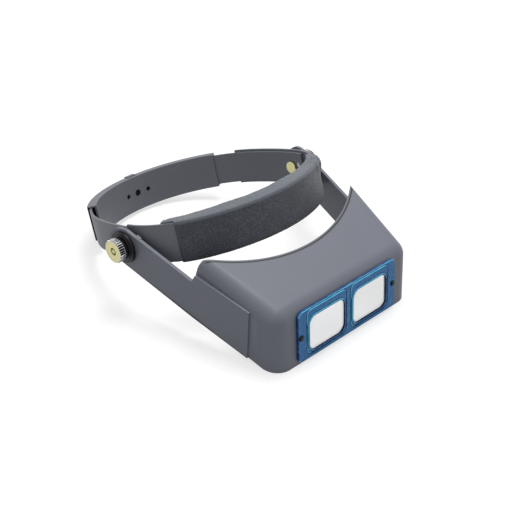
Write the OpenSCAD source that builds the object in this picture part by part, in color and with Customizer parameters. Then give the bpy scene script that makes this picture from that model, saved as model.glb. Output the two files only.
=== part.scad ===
// Binocular head loupe: a visor hood with a clip-on lens plate, tilting on two friction pivots
// at the sides of a padded headband. It stands on a table on the hood's lower front edge and on
// the lower edge of the rear sleeve. X runs across the head, -Y is where the wearer looks.

/* [Visor hood] */
// Width of the hood across its two upright front corners
hood_front_w = 147; // [140:1:152]
// Length of the hood from the foot of its front face to the tips beside the brow cut-out
hood_len = 71; // [66:1:76]
// Height at which the sloping top would meet the upright through the foot of the front face
hood_front_h = 44; // [42:0.5:50]
// Upward slope of the top towards the forehead, in degrees
hood_top_slope = 18; // [14:0.5:20]
// Backward lean of the front face, in degrees
face_lean = 6; // [4:0.5:8]
// Wall thickness of the hood
hood_wall = 2.4; // [2:0.1:3]
// Outer radius of the two upright front corners
corner_r = 13; // [10:0.5:15]
// Outer radius of the rear end of the long top edges
edge_r = 8; // [6:0.5:10]
// Radius of the brow cut-out, seen from above
brow_r = 126; // [115:1:140]
// Distance behind the hood's tips at which its rear edges meet the arms
notch_reach = 4.5; // [3:0.5:8]
// Distance from the foot of the front face back to the middle of the brow cut-out
brow_y = 44; // [40:1:50]
// Length of the flat foot under the front of the hood
foot_len = 13; // [10:1:16]
// Depth of the shelf that stiffens the foot inside
shelf_depth = 9; // [6:1:12]

/* [Arms] */
// Height of each arm, measured square to its length
arm_h = 29.2; // [26:0.2:32]
// Thickness of each arm
arm_t = 2.6; // [2.2:0.1:3.2]
// How far each arm and its panel stand proud of the hood's side, measured across the head
panel_proud = 3; // [2:0.1:3.6]
// Distance from the foot of the front face back to the front end of each side panel
panel_front = 26.5; // [22:0.5:32]
// Height of the side panel's upper front corner above the table
panel_front_h = 43.4; // [38:0.2:45]
// Height of the side panel's upper rear corner above the table
panel_rear_h = 54.6; // [52:0.2:56]
// Distance from the hood's rear edge forward to that corner
panel_back = 1.5; // [0.5:0.1:3]
// Distance from the foot of the front face back to the pivots
pivot_y = 138; // [132:1:146]
// Radius of the round seat that each arm has about its pivot
seat_r = 12; // [11:0.5:14]
// Length of that seat from the friction washer out to the arm's outer face
seat_len = 5.92; // [4:0.02:8]
// Distance from the pivots forward to the small stop on the inner edge of each arm
stop_reach = 11.5; // [9:0.5:20]
// Length of that stop
stop_len = 4; // [2:0.5:6]
// How far that stop stands out from the arm
stop_t = 1.2; // [0.8:0.1:1.6]

/* [Lens plate] */
// Width of the lens plate
plate_w = 106; // [100:1:112]
// Height of the lens plate
plate_h = 41.5; // [38:0.5:43]
// Thickness of the plate at its end flanges
plate_t = 3; // [2.4:0.1:4]
// Radius of the plate's corners
plate_r = 5; // [3:0.5:8]
// Height of the plate's lower edge above the hood's foot
plate_lift = 1.8; // [1:0.1:3]
// Width of each lens window
window_w = 36.9; // [33:0.1:39]
// Height of each lens window
window_h = 27.7; // [25:0.1:29]
// Width of the bridge between the two windows
bridge_w = 9.8; // [8:0.1:12]
// Height of the windows' lower edge above the plate's lower edge
window_lift = 5.9; // [5:0.1:7]
// Corner radius of the windows
window_r = 6; // [4:0.5:8]
// Height of the raised rim round each window
rim_h = 0.9; // [0.4:0.1:1.4]
// Width of the raised rim round each window
rim_w = 2.4; // [1.6:0.1:3]
// Width of the ledge that each lens rests on
ledge_w = 0.8; // [0.6:0.1:1.2]
// Thickness of each lens beside its ends
lens_edge_t = 1.5; // [1.2:0.1:1.8]
// Radius of the lenses' two curved faces
lens_curve_r = 150; // [120:5:260]
// Radius of the two studs that hold the plate
stud_r = 1.8; // [1.5:0.1:2.2]
// Thickness of each stud's head inside the hood
stud_head_t = 1.2; // [0.8:0.1:1.6]
// Gap between each stud and its notch in the plate
notch_gap = 0.5; // [0.3:0.1:0.8]
// Distance from each stud's centre in from the plate's end
stud_inset = 2.9; // [2.6:0.1:3.6]

/* [Headband] */
// Thickness of the band and of the rear strap
band_t = 1.8; // [1.4:0.1:2.2]
// Height of the front band
band_h = 29; // [26:0.5:31]
// Height of the rear strap and of the band's tongue, which share the sleeve
strap_h = 25.5; // [22:0.5:26]
// Half the outer width of the band at the pivots
band_half_w = 88; // [84:0.5:94]
// How much smaller the rear arc's outer radius is than that half width
rear_inset = 2.7; // [2:0.1:4]
// Distance from the pivots back to the centre of the rear arc
rear_c = 24.3; // [22:0.1:27]
// Distance from the pivots forward to the front of the band
band_reach = 70.5; // [68:0.5:74]
// How much smaller the front corners' radius is than that distance
turn_inset = 7.5; // [6:0.5:12]
// Angle at which the front band's outer end stops behind the far pivot, in degrees
band_end_a = 24.5; // [20:0.5:30]
// Upward tilt of the headband as it stands, in degrees
band_tilt = 19.5; // [17:0.25:21]

/* [Rear sleeve and strap] */
// Half the angle that the sleeve covers about the centre of the rear arc, in degrees
sleeve_a = 52; // [46:1:56]
// Wall thickness of the sleeve
sleeve_wall = 1.5; // [1.2:0.1:2]
// Thickness of the sleeve's upper and lower lips
sleeve_lip = 1.2; // [1:0.1:2]
// Angle by which each strap end runs past the middle of the sleeve, in degrees
overlap_a = 24; // [16:1:30]
// Distance between neighbouring setting holes, measured along the sleeve's inner face
hole_pitch = 10.7; // [9:0.1:12]
// Radius of the middle setting hole
hole_r = 2.5; // [2:0.1:3]
// Radius of the two outer setting holes
small_hole_r = 1.6; // [1.2:0.1:2]
// Width of the rib round the sleeve
rib_w = 9; // [6:0.5:12]
// How far the rib stands proud of the sleeve
rib_proud = 0.8; // [0.4:0.1:1.2]
// Gap between the friction washer and the head of the rivet that joins strap and band
rivet_gap = 0.5; // [0.3:0.1:3]
// Height of the rivet above the middle of the band
rivet_rise = 3; // [0:0.5:6]
// Radius of the rivet's shank
rivet_r = 1.2; // [1:0.1:1.5]
// Radius of the rivet's heads
rivet_head_r = 2; // [1.8:0.1:2.5]
// Thickness of the rivet's heads
rivet_head_t = 0.8; // [0.6:0.1:1]

/* [Pad] */
// Thickness of the foam between the band and the forehead
foam_t = 7; // [5:0.5:9]
// Height of the foam
foam_h = 27; // [24:0.5:28]
// Thickness of the leatherette cover
cover_t = 1; // [0.8:0.1:1.4]
// Height of the covered pad at its edges
pad_h = 32; // [31.6:0.2:34]
// How far the pad swells at mid height on the side of the forehead
pad_crown = 1.4; // [0.6:0.1:2]
// Length over which each end of the pad tapers
pad_taper = 12; // [6:1:18]
// Share of the foam's thickness that is left at the pad's ends
pad_end_fill = 0.3; // [0.2:0.05:0.6]
// Distance from the pivots forward to the ends of the pad
pad_start = 29; // [26:1:34]
// Distance from the pivots forward to the ends of the cover's outer face
flap_start = 39; // [36:1:44]

/* [Pivots] */
// Radius of each brass bolt's shank
bolt_r = 2.4; // [2:0.1:2.8]
// Radius of each brass bolt's flat head
bolt_head_r = 5.2; // [4.6:0.1:6]
// Thickness of each brass bolt's head
bolt_head_t = 1.5; // [1.2:0.1:2]
// Thickness of the friction washer between band and arm
inner_washer_t = 2.2; // [1.6:0.1:2.6]
// Radius of the friction washer between band and arm
inner_washer_r = 7; // [6:0.2:8]
// Radius of the wide washer outside the arm
wide_washer_r = 10.5; // [10:0.5:11]
// Thickness of the wide washer outside the arm
wide_washer_t = 1.2; // [0.8:0.1:1.6]
// Radius of the collar washer under the thumb nut
collar_r = 8.2; // [7:0.1:8.8]
// Thickness of the collar washer under the thumb nut
collar_t = 2.2; // [1.6:0.1:2.6]
// Depth of the shallow recess in the face of each thumb nut
nut_dish = 0.4; // [0.2:0.1:0.8]
// Radius of each thumb nut over its knurls
nut_r = 9; // [8.4:0.1:10]
// Thickness of each thumb nut
nut_t = 5.4; // [4.6:0.1:6.5]
// Number of knurls round each thumb nut
knurls = 30; // [24:2:40]

/* [Clearances] */
// Gap between faces that touch or rub
rub_gap = 0.06; // [0.04:0.01:0.12]
// Radial clearance of what turns on the bolts
turn_gap = 0.05; // [0.03:0.01:0.1]
// Gap between the straps and the sleeve, and between the pad and the band
slide_gap = 0.3; // [0.2:0.05:0.4]

/* [Hidden] */
$fn = 96;

hood_grey = "#63666e";
washer_black = "#1d1e20";
far = 400;
shelf_lap = 0.4;

// The sleeve's rib and the hood's foot both touch the table, which sets the pivots' height
layer = band_t + slide_gap;
rear_r = band_half_w - rear_inset;
turn_r = band_reach - turn_inset;
sleeve_out_r = rear_r + slide_gap + sleeve_wall;
sleeve_in_r = rear_r - 2 * layer - sleeve_wall;
sleeve_h = strap_h + 2 * slide_gap + 2 * sleeve_lip;
stand_r = rear_c + sleeve_out_r + rib_proud;
stand_h = sleeve_h / 2 + rib_proud;
pivot_z = stand_r * sin(band_tilt) + stand_h * cos(band_tilt);
rear_y = pivot_y + stand_r * cos(band_tilt) + stand_h * sin(band_tilt);
plate_out = rub_gap + plate_t;
stud_x = plate_w / 2 - stud_inset;
rim_low = plate_lift + window_lift - rim_w;
front_y = rim_low * sin(face_lean) - plate_out * cos(face_lean);
mid_y = (rear_y + front_y) / 2;

// Arm: a bar whose lower edge starts at the back of the foot and passes under the pivot
arm_run = pivot_y - foot_len;
arm_slope = atan2(pivot_z, arm_run) - asin(arm_h / 2 / norm([arm_run, pivot_z]));
arm_rise = arm_h / 2 / cos(arm_slope);
end_swell = 0.1;
arm_top_z = function(y) pivot_z + arm_rise + (y - pivot_y) * tan(arm_slope);
arm_low_z = function(y) pivot_z - arm_rise + (y - pivot_y) * tan(arm_slope);
top_z = function(y) hood_front_h + y * tan(hood_top_slope);

// Rear edge of the hood's side: from its tip down to the notch where the arm leaves it
notch_y = hood_len + notch_reach;
notch_z = arm_top_z(notch_y);
tip_z = top_z(hood_len);
rear_edge_y = function(z) hood_len + notch_reach * (tip_z - z) / (tip_z - notch_z);

// Stack along each pivot, as distances from the middle of the head
washer_in = band_half_w + rub_gap;
seat_in = washer_in + inner_washer_t + rub_gap;
seat_out = seat_in + seat_len;
wide_in = seat_out + rub_gap;
collar_in = wide_in + wide_washer_t;
nut_in = collar_in + collar_t + rub_gap;
bolt_end = nut_in + nut_t - nut_dish;

// Half width of the hood's outer side, and of the arm's outer face, at y. The sides splay
// outwards so far that the arms reach the rear of their seats.
hood_splay = atan((seat_out - hood_front_w / 2 - panel_proud) / (pivot_y + seat_r - corner_r));
side_x = function(y) hood_front_w / 2 + (y - corner_r) * tan(hood_splay);
arm_x = function(y) side_x(y) + panel_proud;

// Headband outline: centres of its tangent arcs, seen square to the band, pivots on Y = 0.
// Every second arc is a little thinner and lower, and its ends are let into its neighbours.
let_in = 0.1;
let_in_a = 0.3;
side_r = (band_half_w ^ 2 + rear_c ^ 2 - rear_r ^ 2) / (2 * (band_half_w - rear_r));
side_c = [band_half_w - side_r, 0];
side_a = atan2(rear_c, side_r - band_half_w);
turn_c = [band_half_w - turn_r, 0];
brow_band_r = (turn_c[0] ^ 2 + band_reach ^ 2 - turn_r ^ 2) / (2 * (band_reach - turn_r));
brow_c = [0, brow_band_r - band_reach];
brow_a = atan2(-brow_c[1], turn_c[0]);
rivet_reach = inner_washer_r + rivet_gap + rivet_head_r;
rear_centre = [0, rear_c];

module place_head() translate([0, -mid_y, 0]) children();
module place_pivot() place_head() translate([0, pivot_y, pivot_z]) children();
module place_band() place_pivot() rotate([-band_tilt, 0, 0]) children();
module place_face() place_head() rotate([-face_lean, 0, 0]) rotate([90, 0, 0]) children();
module on_side(side) { if (side > 0) children(); else mirror([1, 0, 0]) children(); }

// Bar, rod and strip shapes
module rounded_bar(w, h, r) {
    square([w - 2 * r, h], center = true);
    square([w, h - 2 * r], center = true);
    for (x = [-1, 1], y = [-1, 1]) translate([x * (w / 2 - r), y * (h / 2 - r)]) circle(r);
}
module x_rod(r, x0, x1) translate([x0, 0, 0]) rotate([0, 90, 0]) cylinder(r = r, h = x1 - x0);
module x_wide(w) rotate([90, 0, 90]) translate([0, 0, -w / 2]) linear_extrude(w) children();
module arc_strip(centre, r_out, thick, height, a0, a1)
    translate([centre[0], centre[1], -height / 2]) rotate([0, 0, a0])
        rotate_extrude(angle = a1 - a0, $fn = 180)
            translate([r_out - thick, 0]) square([thick, height]);
module inner_arc_strip(centre, r_out, thick, height, a0, a1)
    arc_strip(centre, r_out - let_in, thick - 2 * let_in, height - 2 * let_in, a0 - let_in_a, a1 + let_in_a);

// Visor hood: rounded shell, cut away for the brow, with a proud panel and arm on each side.
// The block has four leaning corner columns, each a quarter turn topped by part of a ball that
// touches the sloping top. Each column holds its ball's centre, its lean per unit of height, its
// radius, and the angles where its quarter turn starts and ends.
module hood_block(inset) {
    below = 20;
    past_tips = 14;
    steps = 12;
    s = sin(face_lean);
    drop = corner_r / cos(hood_top_slope);
    y_top = (corner_r + (hood_front_h - drop) * s) / (cos(face_lean) - tan(hood_top_slope) * s);
    y_back = hood_len + past_tips;
    z_back = top_z(y_back) - edge_r / cos(hood_top_slope);
    ball_x = function(y, r) side_x(y) - r / cos(hood_splay);
    front = [ball_x(y_top, corner_r), y_top, top_z(y_top) - drop];
    lean = tan(face_lean) * [tan(hood_splay), 1, 0] + [0, 0, 1];
    back = [ball_x(y_back, edge_r), y_back, z_back];
    flip = function(v) [-v[0], v[1], v[2]];
    columns = [
        [front, lean, corner_r, -90, -hood_splay], [back, [0, 0, 1], edge_r, -hood_splay, 90],
        [flip(back), [0, 0, 1], edge_r, 90, 180 + hood_splay],
        [flip(front), flip(lean), corner_r, 180 + hood_splay, 270]];
    unit = function(v) v / norm(v);
    top = [0, -sin(hood_top_slope), cos(hood_top_slope)];
    outward = function(a) unit([cos(a), sin(a), max(0, -sin(a)) * tan(face_lean)]);
    on_ball = function(q, a, up) q[0] + (q[2] - inset) * unit(cos(up) * outward(a) + sin(up) * top);
    turn = function(up) [for (q = columns, i = [0:steps]) on_ball(q, q[3] + (q[4] - q[3]) * i / steps, up)];
    foot_ring = [for (q = columns, i = [0:steps]) let (p = on_ball(q, q[3] + (q[4] - q[3]) * i / steps, 0))
        p - q[1] * (p[2] + below)];
    n = len(foot_ring);
    last = n * steps;
    polyhedron(concat(foot_ring, [for (k = [0:steps - 1], p = turn(90 * k / steps)) p],
        [for (q = columns) on_ball(q, q[3], 90)]), concat(
        [for (i = [1:n - 2]) [0, i, i + 1]],
        [for (k = [0:steps - 1], i = [0:n - 1]) let (a = k * n + i, b = k * n + (i + 1) % n) [a, a + n, b + n]],
        [for (k = [0:steps - 1], i = [0:n - 1]) let (a = k * n + i, b = k * n + (i + 1) % n) [a, b + n, b]],
        [for (i = [0:n - 1]) [last + i, last + n + floor(i / (steps + 1)), last + (i + 1) % n]],
        [for (c = [0:3]) [last + n + c, last + n + (c + 1) % 4, last + (c + 1) * (steps + 1) % n]],
        [[last + n, last + n + 2, last + n + 1], [last + n, last + n + 3, last + n + 2]]));
}
module side_outline() {
    low_rear = hood_len - 1;
    polygon([[-far, 0], [foot_len, 0], [low_rear, arm_low_z(low_rear)], [notch_y, notch_z],
        [hood_len, tip_z], [hood_len, far], [-far, far]]);
}
module brow_cut() intersection() {
    translate([0, brow_y + brow_r, 0]) cylinder(r = brow_r, h = far, $fn = 180);
    translate([-far, hood_wall + corner_r, arm_low_z(hood_len)]) cube([2 * far, far, far]);
}
module face_cuts() rotate([-face_lean, 0, 0]) rotate([90, 0, 0]) {
    translate([0, plate_lift + window_lift + window_h / 2]) linear_extrude(2 * corner_r, center = true)
        rounded_bar(2 * (window_w + rim_w) + bridge_w, window_h + 2 * rim_w, window_r);
    for (m = [-1, 1]) translate([m * stud_x, plate_lift + plate_h / 2])
        cylinder(r = stud_r + turn_gap, h = 2 * corner_r, center = true);
}
module arm_plan() {
    arm_back = pivot_y + arm_h;
    panel_in = function(y) side_x(y) - hood_wall / 2;
    polygon([[arm_x(panel_front), panel_front], [arm_x(arm_back), arm_back],
        [arm_x(arm_back) - arm_t, arm_back], [arm_x(notch_y) - arm_t, notch_y],
        [panel_in(notch_y), notch_y], [panel_in(panel_front), panel_front]]);
}
module arm_outline() {
    translate([pivot_y, pivot_z]) {
        circle(arm_h / 2 + end_swell);
        rotate(arm_slope) translate([-arm_run, -arm_h / 2]) square([arm_run, arm_h]);
    }
    polygon([[panel_front, arm_low_z(panel_front)], [panel_front, panel_front_h],
        [rear_edge_y(panel_rear_h) - panel_back, panel_rear_h], [notch_y, notch_z],
        [notch_y, arm_low_z(notch_y)]]);
}
module arm_stop() {
    y = pivot_y - stop_reach;
    translate([arm_x(y) - arm_t - stop_t, y, arm_top_z(y)]) rotate([arm_slope, 0, 0])
        translate([0, -stop_len / 2, -stop_len]) cube([stop_t + arm_t / 2, stop_len, stop_len + stop_t / 2]);
}
module arm() difference() {
    union() {
        intersection() {
            x_wide(far) arm_outline();
            linear_extrude(far) arm_plan();
        }
        translate([0, pivot_y, pivot_z]) x_rod(seat_r, seat_in, seat_out);
        arm_stop();
    }
    translate([0, pivot_y, pivot_z]) {
        x_rod(wide_washer_r + rub_gap, seat_out, far);
        x_rod(bolt_r + turn_gap, 0, far);
    }
}
module visor_hood() color(hood_grey) place_head() {
    difference() {
        intersection() {
            difference() { hood_block(0); hood_block(hood_wall); }
            x_wide(far) side_outline();
        }
        brow_cut();
        face_cuts();
    }
    intersection() {
        hood_block(hood_wall - shelf_lap);
        translate([-far / 2, 0, 0]) cube([far, shelf_depth, hood_wall]);
    }
    for (m = [-1, 1]) on_side(m) arm();
}

// Lens plate: flat end flanges, a raised rim round each window, notches for the studs
module window_at(m) translate([m * (bridge_w + window_w) / 2, plate_lift + window_lift + window_h / 2])
    children();
module lens_plate() color([0.12, 0.36, 0.62, 0.75]) place_face() difference() {
    union() {
        translate([0, plate_lift + plate_h / 2, rub_gap]) linear_extrude(plate_t - rim_h)
            rounded_bar(plate_w, plate_h, plate_r);
        for (m = [-1, 1]) window_at(m) translate([0, 0, rub_gap]) linear_extrude(plate_t)
            rounded_bar(window_w + 2 * rim_w, window_h + 2 * rim_w, window_r + rim_w);
    }
    for (m = [-1, 1]) {
        window_at(m) {
            translate([0, 0, -1]) linear_extrude(far) rounded_bar(window_w, window_h, window_r);
            translate([0, 0, -1]) linear_extrude(1 + rub_gap + lens_edge_t + rub_gap)
                rounded_bar(window_w + 2 * ledge_w, window_h + 2 * ledge_w, window_r + ledge_w);
        }
        translate([m * stud_x, plate_lift + plate_h / 2, -1]) {
            cylinder(r = stud_r + notch_gap, h = far);
            translate([m > 0 ? 0 : -far, -stud_r, 0]) cube([far, 2 * stud_r, far]);
        }
    }
}
module lens(m) color([0.9, 0.94, 0.97, 0.35]) place_face() window_at(m) intersection() {
    ledge = ledge_w - turn_gap;
    mid = rub_gap + lens_edge_t / 2;
    half = lens_edge_t / 2 + (window_w / 2) ^ 2 / (2 * lens_curve_r);
    union() {
        translate([0, 0, rub_gap]) linear_extrude(lens_edge_t)
            rounded_bar(window_w + 2 * ledge, window_h + 2 * ledge, window_r + ledge);
        linear_extrude(4 * half, center = true)
            rounded_bar(window_w - 2 * turn_gap, window_h - 2 * turn_gap, window_r - turn_gap);
    }
    intersection_for (side = [-1, 1])
        translate([0, 0, mid + side * (half - lens_curve_r)]) sphere(lens_curve_r, $fn = 240);
}
module plate_stud(m) color("#303236") place_face() translate([m * stud_x, plate_lift + plate_h / 2, 0]) {
    under = hood_wall + rub_gap;
    translate([0, 0, -under - stud_head_t]) cylinder(r = stud_r + stud_head_t, h = stud_head_t);
    translate([0, 0, -under - stud_head_t / 2])
        cylinder(r = stud_r, h = under + stud_head_t / 2 + plate_out - notch_gap);
    translate([0, 0, plate_out - 2 * notch_gap])
        cylinder(r1 = stud_r, r2 = stud_r - notch_gap, h = stud_head_t);
}

// Front band: one strip from its tongue in the sleeve, round the brow, to its end behind the
// far pivot, where it lies outside the rear strap
module front_band() color(hood_grey) place_band() difference() {
    union() {
        inner_arc_strip(brow_c, brow_band_r, band_t, band_h, -180 - brow_a, brow_a);
        for (m = [-1, 1]) on_side(m) arc_strip(turn_c, turn_r, band_t, band_h, brow_a, 0);
        inner_arc_strip(side_c, side_r, band_t, band_h, 0, side_a);
        arc_strip(rear_centre, rear_r, band_t, band_h, side_a, band_end_a);
        on_side(-1) {
            inner_arc_strip(side_c, side_r, band_t, strap_h, 0, side_a);
            arc_strip(rear_centre, rear_r, band_t, strap_h, side_a, 90 + overlap_a);
        }
    }
    x_rod(bolt_r + turn_gap, -far, far);
    place_rivet() x_rod(rivet_r + turn_gap, 0, far);
    setting_holes();
}
module setting_holes() for (i = [-1:1])
    translate([0, rear_c, 0]) rotate([-90, 0, i * hole_pitch / sleeve_in_r * 180 / PI])
        cylinder(r = i == 0 ? hole_r : small_hole_r, h = rear_r + slide_gap / 2);

// Rear strap: lies inside the band's end, held by the bolt and a rivet, and enters the sleeve
module rear_strap() color("#5c5f67") place_band() difference() {
    strap_turn_r = turn_r - layer;
    strap_front_a = asin((rivet_reach + 2.5 * rivet_head_r) / strap_turn_r);
    union() {
        arc_strip(turn_c, strap_turn_r, band_t, strap_h, -strap_front_a, 0);
        inner_arc_strip(side_c, side_r - layer, band_t, strap_h, 0, side_a);
        arc_strip(rear_centre, rear_r - layer, band_t, strap_h, side_a, 90 + overlap_a);
    }
    x_rod(bolt_r + turn_gap, 0, far);
    place_rivet() x_rod(rivet_r + turn_gap, 0, far);
    setting_holes();
}
module rear_sleeve() color(hood_grey) place_band() difference() {
    rib_a = (rib_w / 2) / sleeve_out_r * 180 / PI;
    past_end_a = 10;
    union() {
        arc_strip(rear_centre, sleeve_out_r, sleeve_out_r - sleeve_in_r, sleeve_h,
            90 - sleeve_a, 90 + sleeve_a);
        arc_strip(rear_centre, sleeve_out_r + rib_proud, rib_proud + sleeve_wall + layer, 2 * stand_h,
            90 - rib_a, 90 + rib_a);
    }
    arc_strip(rear_centre, rear_r + slide_gap, 2 * layer + slide_gap, strap_h + 2 * slide_gap,
        90 - sleeve_a - past_end_a, 90 + sleeve_a + past_end_a);
    setting_holes();
}
module place_rivet() translate([turn_c[0], 0, rivet_rise])
    rotate([0, 0, -asin(rivet_reach / turn_r)]) children();
module strap_rivet() color("#c8c9cb") place_band() place_rivet() {
    inner = turn_r - layer - band_t - rub_gap;
    outer = turn_r + rub_gap;
    x_rod(rivet_r, inner - rivet_head_t / 2, outer + rivet_head_t / 2);
    x_rod(rivet_head_r, inner - rivet_head_t, inner);
    x_rod(rivet_head_r, outer, outer + rivet_head_t);
}

// Pad: a foam strip behind the brow, and the cover that wraps foam and band. Its path holds points
// of the band's outer face, their normals, how full the pad is there, from 0 to 1, and whether the
// cover reaches round the band's outer face.
pad_a0 = -asin(pad_start / turn_r);
pad_steps = 10;
brow_steps = 7;
pad_fill = function(s) s > pad_taper ? 1 : 1 - (1 - pad_end_fill) * (1 - s / pad_taper) ^ 2;
arc_point = function(centre, r, a, fill, wraps) [centre + r * [cos(a), sin(a)], [cos(a), sin(a)], fill, wraps];
pad_half = concat(
    [for (i = [0:pad_steps]) let (turn = (brow_a - pad_a0) * i / pad_steps, a = pad_a0 + turn)
        arc_point(turn_c, turn_r, a, pad_fill(-turn * PI / 180 * turn_r), -turn_r * sin(a) > flap_start)],
    [for (i = [1:brow_steps]) let (a = brow_a - (90 + brow_a) * i / brow_steps)
        arc_point(brow_c, brow_band_r, a, 1, true)]);
pad_path = concat(
    [for (p = pad_half) [[-p[0][0], p[0][1]], [-p[1][0], p[1][1]], p[2], p[3]]],
    [for (i = [2:len(pad_half)]) pad_half[len(pad_half) - i]]);
within = function(path, n) [for (i = [n:len(path) - 1 - n]) path[i]];
foam_in = function(fill) -layer - foam_t * fill;
drawn_in = function(fill) 0.8 + 0.2 * fill;

module swept(path, profile) {
    n = len(profile(1, true));
    pts = [for (p = path, q = profile(p[2], p[3])) [p[0][0] + q[0] * p[1][0], p[0][1] + q[0] * p[1][1], q[1]]];
    last = len(path) - 1;
    polyhedron(pts, concat(
        [for (i = [1:n - 2]) [0, i + 1, i]],
        [for (i = [1:n - 2]) [last * n, last * n + i, last * n + i + 1]],
        [for (k = [0:last - 1], i = [0:n - 1]) let (a = k * n + i, b = k * n + (i + 1) % n) [a, b, b + n]],
        [for (k = [0:last - 1], i = [0:n - 1]) let (a = k * n + i, b = k * n + (i + 1) % n)
            [a, b + n, a + n]]));
}
module pad_foam() color("#4a4a4c") place_band() swept(within(pad_path, 2), function(fill, wraps)
    let (i = foam_in(fill), h = foam_h / 2 * drawn_in(fill)) [[i, -h], [-layer, -h], [-layer, h], [i, h]]);
module pad_cover() color("#34363c") place_band() difference() {
    h = pad_h / 2;
    r = 2 * cover_t;
    swept(pad_path, function(fill, wraps) let (i = foam_in(fill) - slide_gap - cover_t, k = h * drawn_in(fill),
        o = wraps ? slide_gap + cover_t : -layer, crown = i - pad_crown * fill) [
        [i, r - k], [i + r * 0.3, r * 0.3 - k], [i + r, -k],
        [o - r * 0.5, -h], [o - r * 0.15, r * 0.3 - h], [o, r - h],
        [o, h - r], [o - r * 0.15, h - r * 0.3], [o - r * 0.5, h],
        [i + r, k], [i + r * 0.3, k - r * 0.3], [i, k - r], [crown, k * 0.4], [crown, -k * 0.4]]);
    swept(within(pad_path, 1), function(fill, wraps)
        let (i = foam_in(fill) - slide_gap, k = h * drawn_in(fill) - cover_t)
            [[i, -k], [slide_gap, cover_t - h], [slide_gap, h - cover_t], [i, k]]);
}

// Pivots: bolt from inside the band, washers, thumb nut
module pivot_bolt(m) color("#c9bf8a") place_pivot() on_side(m) {
    bore_r = turn_r - band_t - (m > 0 ? layer : 0);
    head_x = turn_c[0] + sqrt(bore_r ^ 2 - bolt_head_r ^ 2) - rub_gap;
    x_rod(bolt_head_r, head_x - bolt_head_t, head_x);
    x_rod(bolt_r, head_x - bolt_head_t / 2, bolt_end);
}
module ring(r, x0, x1) difference() { x_rod(r, x0, x1); x_rod(bolt_r + turn_gap, x0 - 1, x1 + 1); }
module inner_washer(m) color(washer_black) place_pivot() on_side(m)
    ring(inner_washer_r, washer_in, washer_in + inner_washer_t);
module wide_washer(m) color(washer_black) place_pivot() on_side(m)
    ring(wide_washer_r, wide_in, wide_in + wide_washer_t);
module collar_washer(m) color(washer_black) place_pivot() on_side(m)
    ring(collar_r, collar_in, collar_in + collar_t);
module thumb_nut(m) color("#d9dadb") place_pivot() on_side(m) difference() {
    knurl = 1;
    union() {
        x_rod(nut_r - knurl / 2, nut_in, nut_in + nut_t);
        for (k = [0:knurls - 1]) rotate([k * 360 / knurls, 0, 0])
            translate([nut_in + nut_dish, -knurl / 2, nut_r - knurl])
                cube([nut_t - 2 * nut_dish, knurl, knurl]);
    }
    x_rod(bolt_r + turn_gap, nut_in - 1, nut_in + nut_t + 1);
    x_rod(nut_r - 2 * knurl, nut_in + nut_t - nut_dish, nut_in + nut_t + 1);
}

visor_hood();
lens_plate();
lens(-1);  // lens_right
lens(1);  // lens_left
plate_stud(-1);  // plate_stud_right
plate_stud(1);  // plate_stud_left
front_band();
rear_strap();
rear_sleeve();
strap_rivet();
pad_foam();
pad_cover();
pivot_bolt(-1);  // pivot_bolt_right
pivot_bolt(1);  // pivot_bolt_left
inner_washer(-1);  // inner_washer_right
inner_washer(1);  // inner_washer_left
wide_washer(-1);  // wide_washer_right
wide_washer(1);  // wide_washer_left
collar_washer(-1);  // collar_washer_right
collar_washer(1);  // collar_washer_left
thumb_nut(-1);  // thumb_nut_right
thumb_nut(1);  // thumb_nut_left
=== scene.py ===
from math import asin, atan2, cos, degrees, exp, hypot, pi, radians, sin, sqrt

import bmesh
import bpy
from mathutils import Matrix, Vector, noise


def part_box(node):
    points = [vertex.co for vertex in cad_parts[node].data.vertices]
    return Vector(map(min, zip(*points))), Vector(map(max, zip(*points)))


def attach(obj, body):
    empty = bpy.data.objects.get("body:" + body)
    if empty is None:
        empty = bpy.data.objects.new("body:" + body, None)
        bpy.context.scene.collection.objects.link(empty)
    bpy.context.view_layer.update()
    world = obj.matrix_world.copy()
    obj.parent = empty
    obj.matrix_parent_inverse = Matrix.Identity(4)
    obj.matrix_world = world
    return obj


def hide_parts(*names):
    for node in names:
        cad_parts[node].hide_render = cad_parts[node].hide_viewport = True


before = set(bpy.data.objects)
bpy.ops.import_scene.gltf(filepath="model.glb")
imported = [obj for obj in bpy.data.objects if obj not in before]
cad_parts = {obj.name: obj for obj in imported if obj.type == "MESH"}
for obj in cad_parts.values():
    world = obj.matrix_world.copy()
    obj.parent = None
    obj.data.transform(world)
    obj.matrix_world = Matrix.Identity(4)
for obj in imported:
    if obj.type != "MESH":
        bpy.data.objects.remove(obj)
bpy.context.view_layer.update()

# Sizes are in millimetres and angles in degrees, apart from those said to be otherwise.
MM = 0.001

# ---- Camera
# It stands in front of the wearer's right cheek, above the brow, and looks down on the hood. It
# has a slight roll, and a long lens: 79 mm on a 36 mm wide frame. Its place is in metres.
CAMERA_PLACE = (-0.521585, -0.525043, 0.502657)
CAMERA_RIGHT = (0.706591, -0.706778, 0.034567)
CAMERA_UP = (0.371662, 0.412246, 0.831818)
CAMERA_BACK = (-0.602160, -0.574908, 0.553971)
FRAME_WIDTH = 36.0
FOCAL_LENGTH = 79.046
NEAREST_SEEN = 0.01

camera = bpy.data.objects.new("camera", bpy.data.cameras.new("camera"))
camera.data.sensor_width = FRAME_WIDTH
camera.data.lens = FOCAL_LENGTH
camera.data.clip_start = NEAREST_SEEN
turn = Matrix((CAMERA_RIGHT, CAMERA_UP, CAMERA_BACK)).transposed().to_4x4()
camera.matrix_world = Matrix.Translation(CAMERA_PLACE) @ turn
bpy.context.scene.collection.objects.link(camera)
bpy.context.scene.camera = camera

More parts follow.
